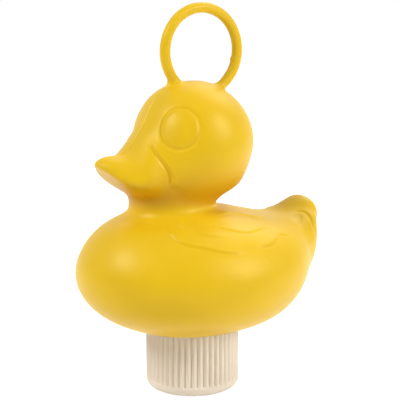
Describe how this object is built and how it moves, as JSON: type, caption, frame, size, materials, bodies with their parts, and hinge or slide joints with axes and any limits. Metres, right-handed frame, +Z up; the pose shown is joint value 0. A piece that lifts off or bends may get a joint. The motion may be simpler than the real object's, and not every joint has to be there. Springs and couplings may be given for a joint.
{
  "type": "hook-a-duck game duck",
  "caption": "Hollow moulded floating duck with a hanging ring on its crown and a ribbed screw cap with ballast under its belly.",
  "frame": {"origin": "centre of the screw cap's flat bottom, on the cap's axis", "axes": "+Z up along the cap's axis, -Y towards the beak, +X to the duck's left; X = 0 is the plane that mirrors the duck"},
  "size_m": [0.0718, 0.0966, 0.139],
  "materials": {
    "duck_yellow": "semi-gloss moulded yellow plastic with a fine grain",
    "cap_cream": "satin off-white moulded plastic",
    "ballast_steel": "plain grey steel",
    "wad_white": "matt white foam liner"
  },
  "bodies": {
    "duck": {"duck_body": "duck_yellow"},
    "ballast": {"ballast_weight": "ballast_steel", "sealing_wad": "wad_white"},
    "cap": {"screw_cap": "cap_cream"}
  },
  "joints": [
    {"name": "cap_travel", "type": "slide", "parent": "duck", "child": "ballast", "axis": [0, 0, -1], "range_m": [0, 0.0132]},
    {"name": "cap_turn", "type": "hinge", "parent": "ballast", "child": "cap", "pos_m": [0, 0, 0], "axis": [0, 0, -1], "range_deg": [0, 1188]}
  ],
  "couplings": [
    {"joint": "cap_turn", "follows": "cap_travel", "rad_per_m": 1570.8}
  ]
}
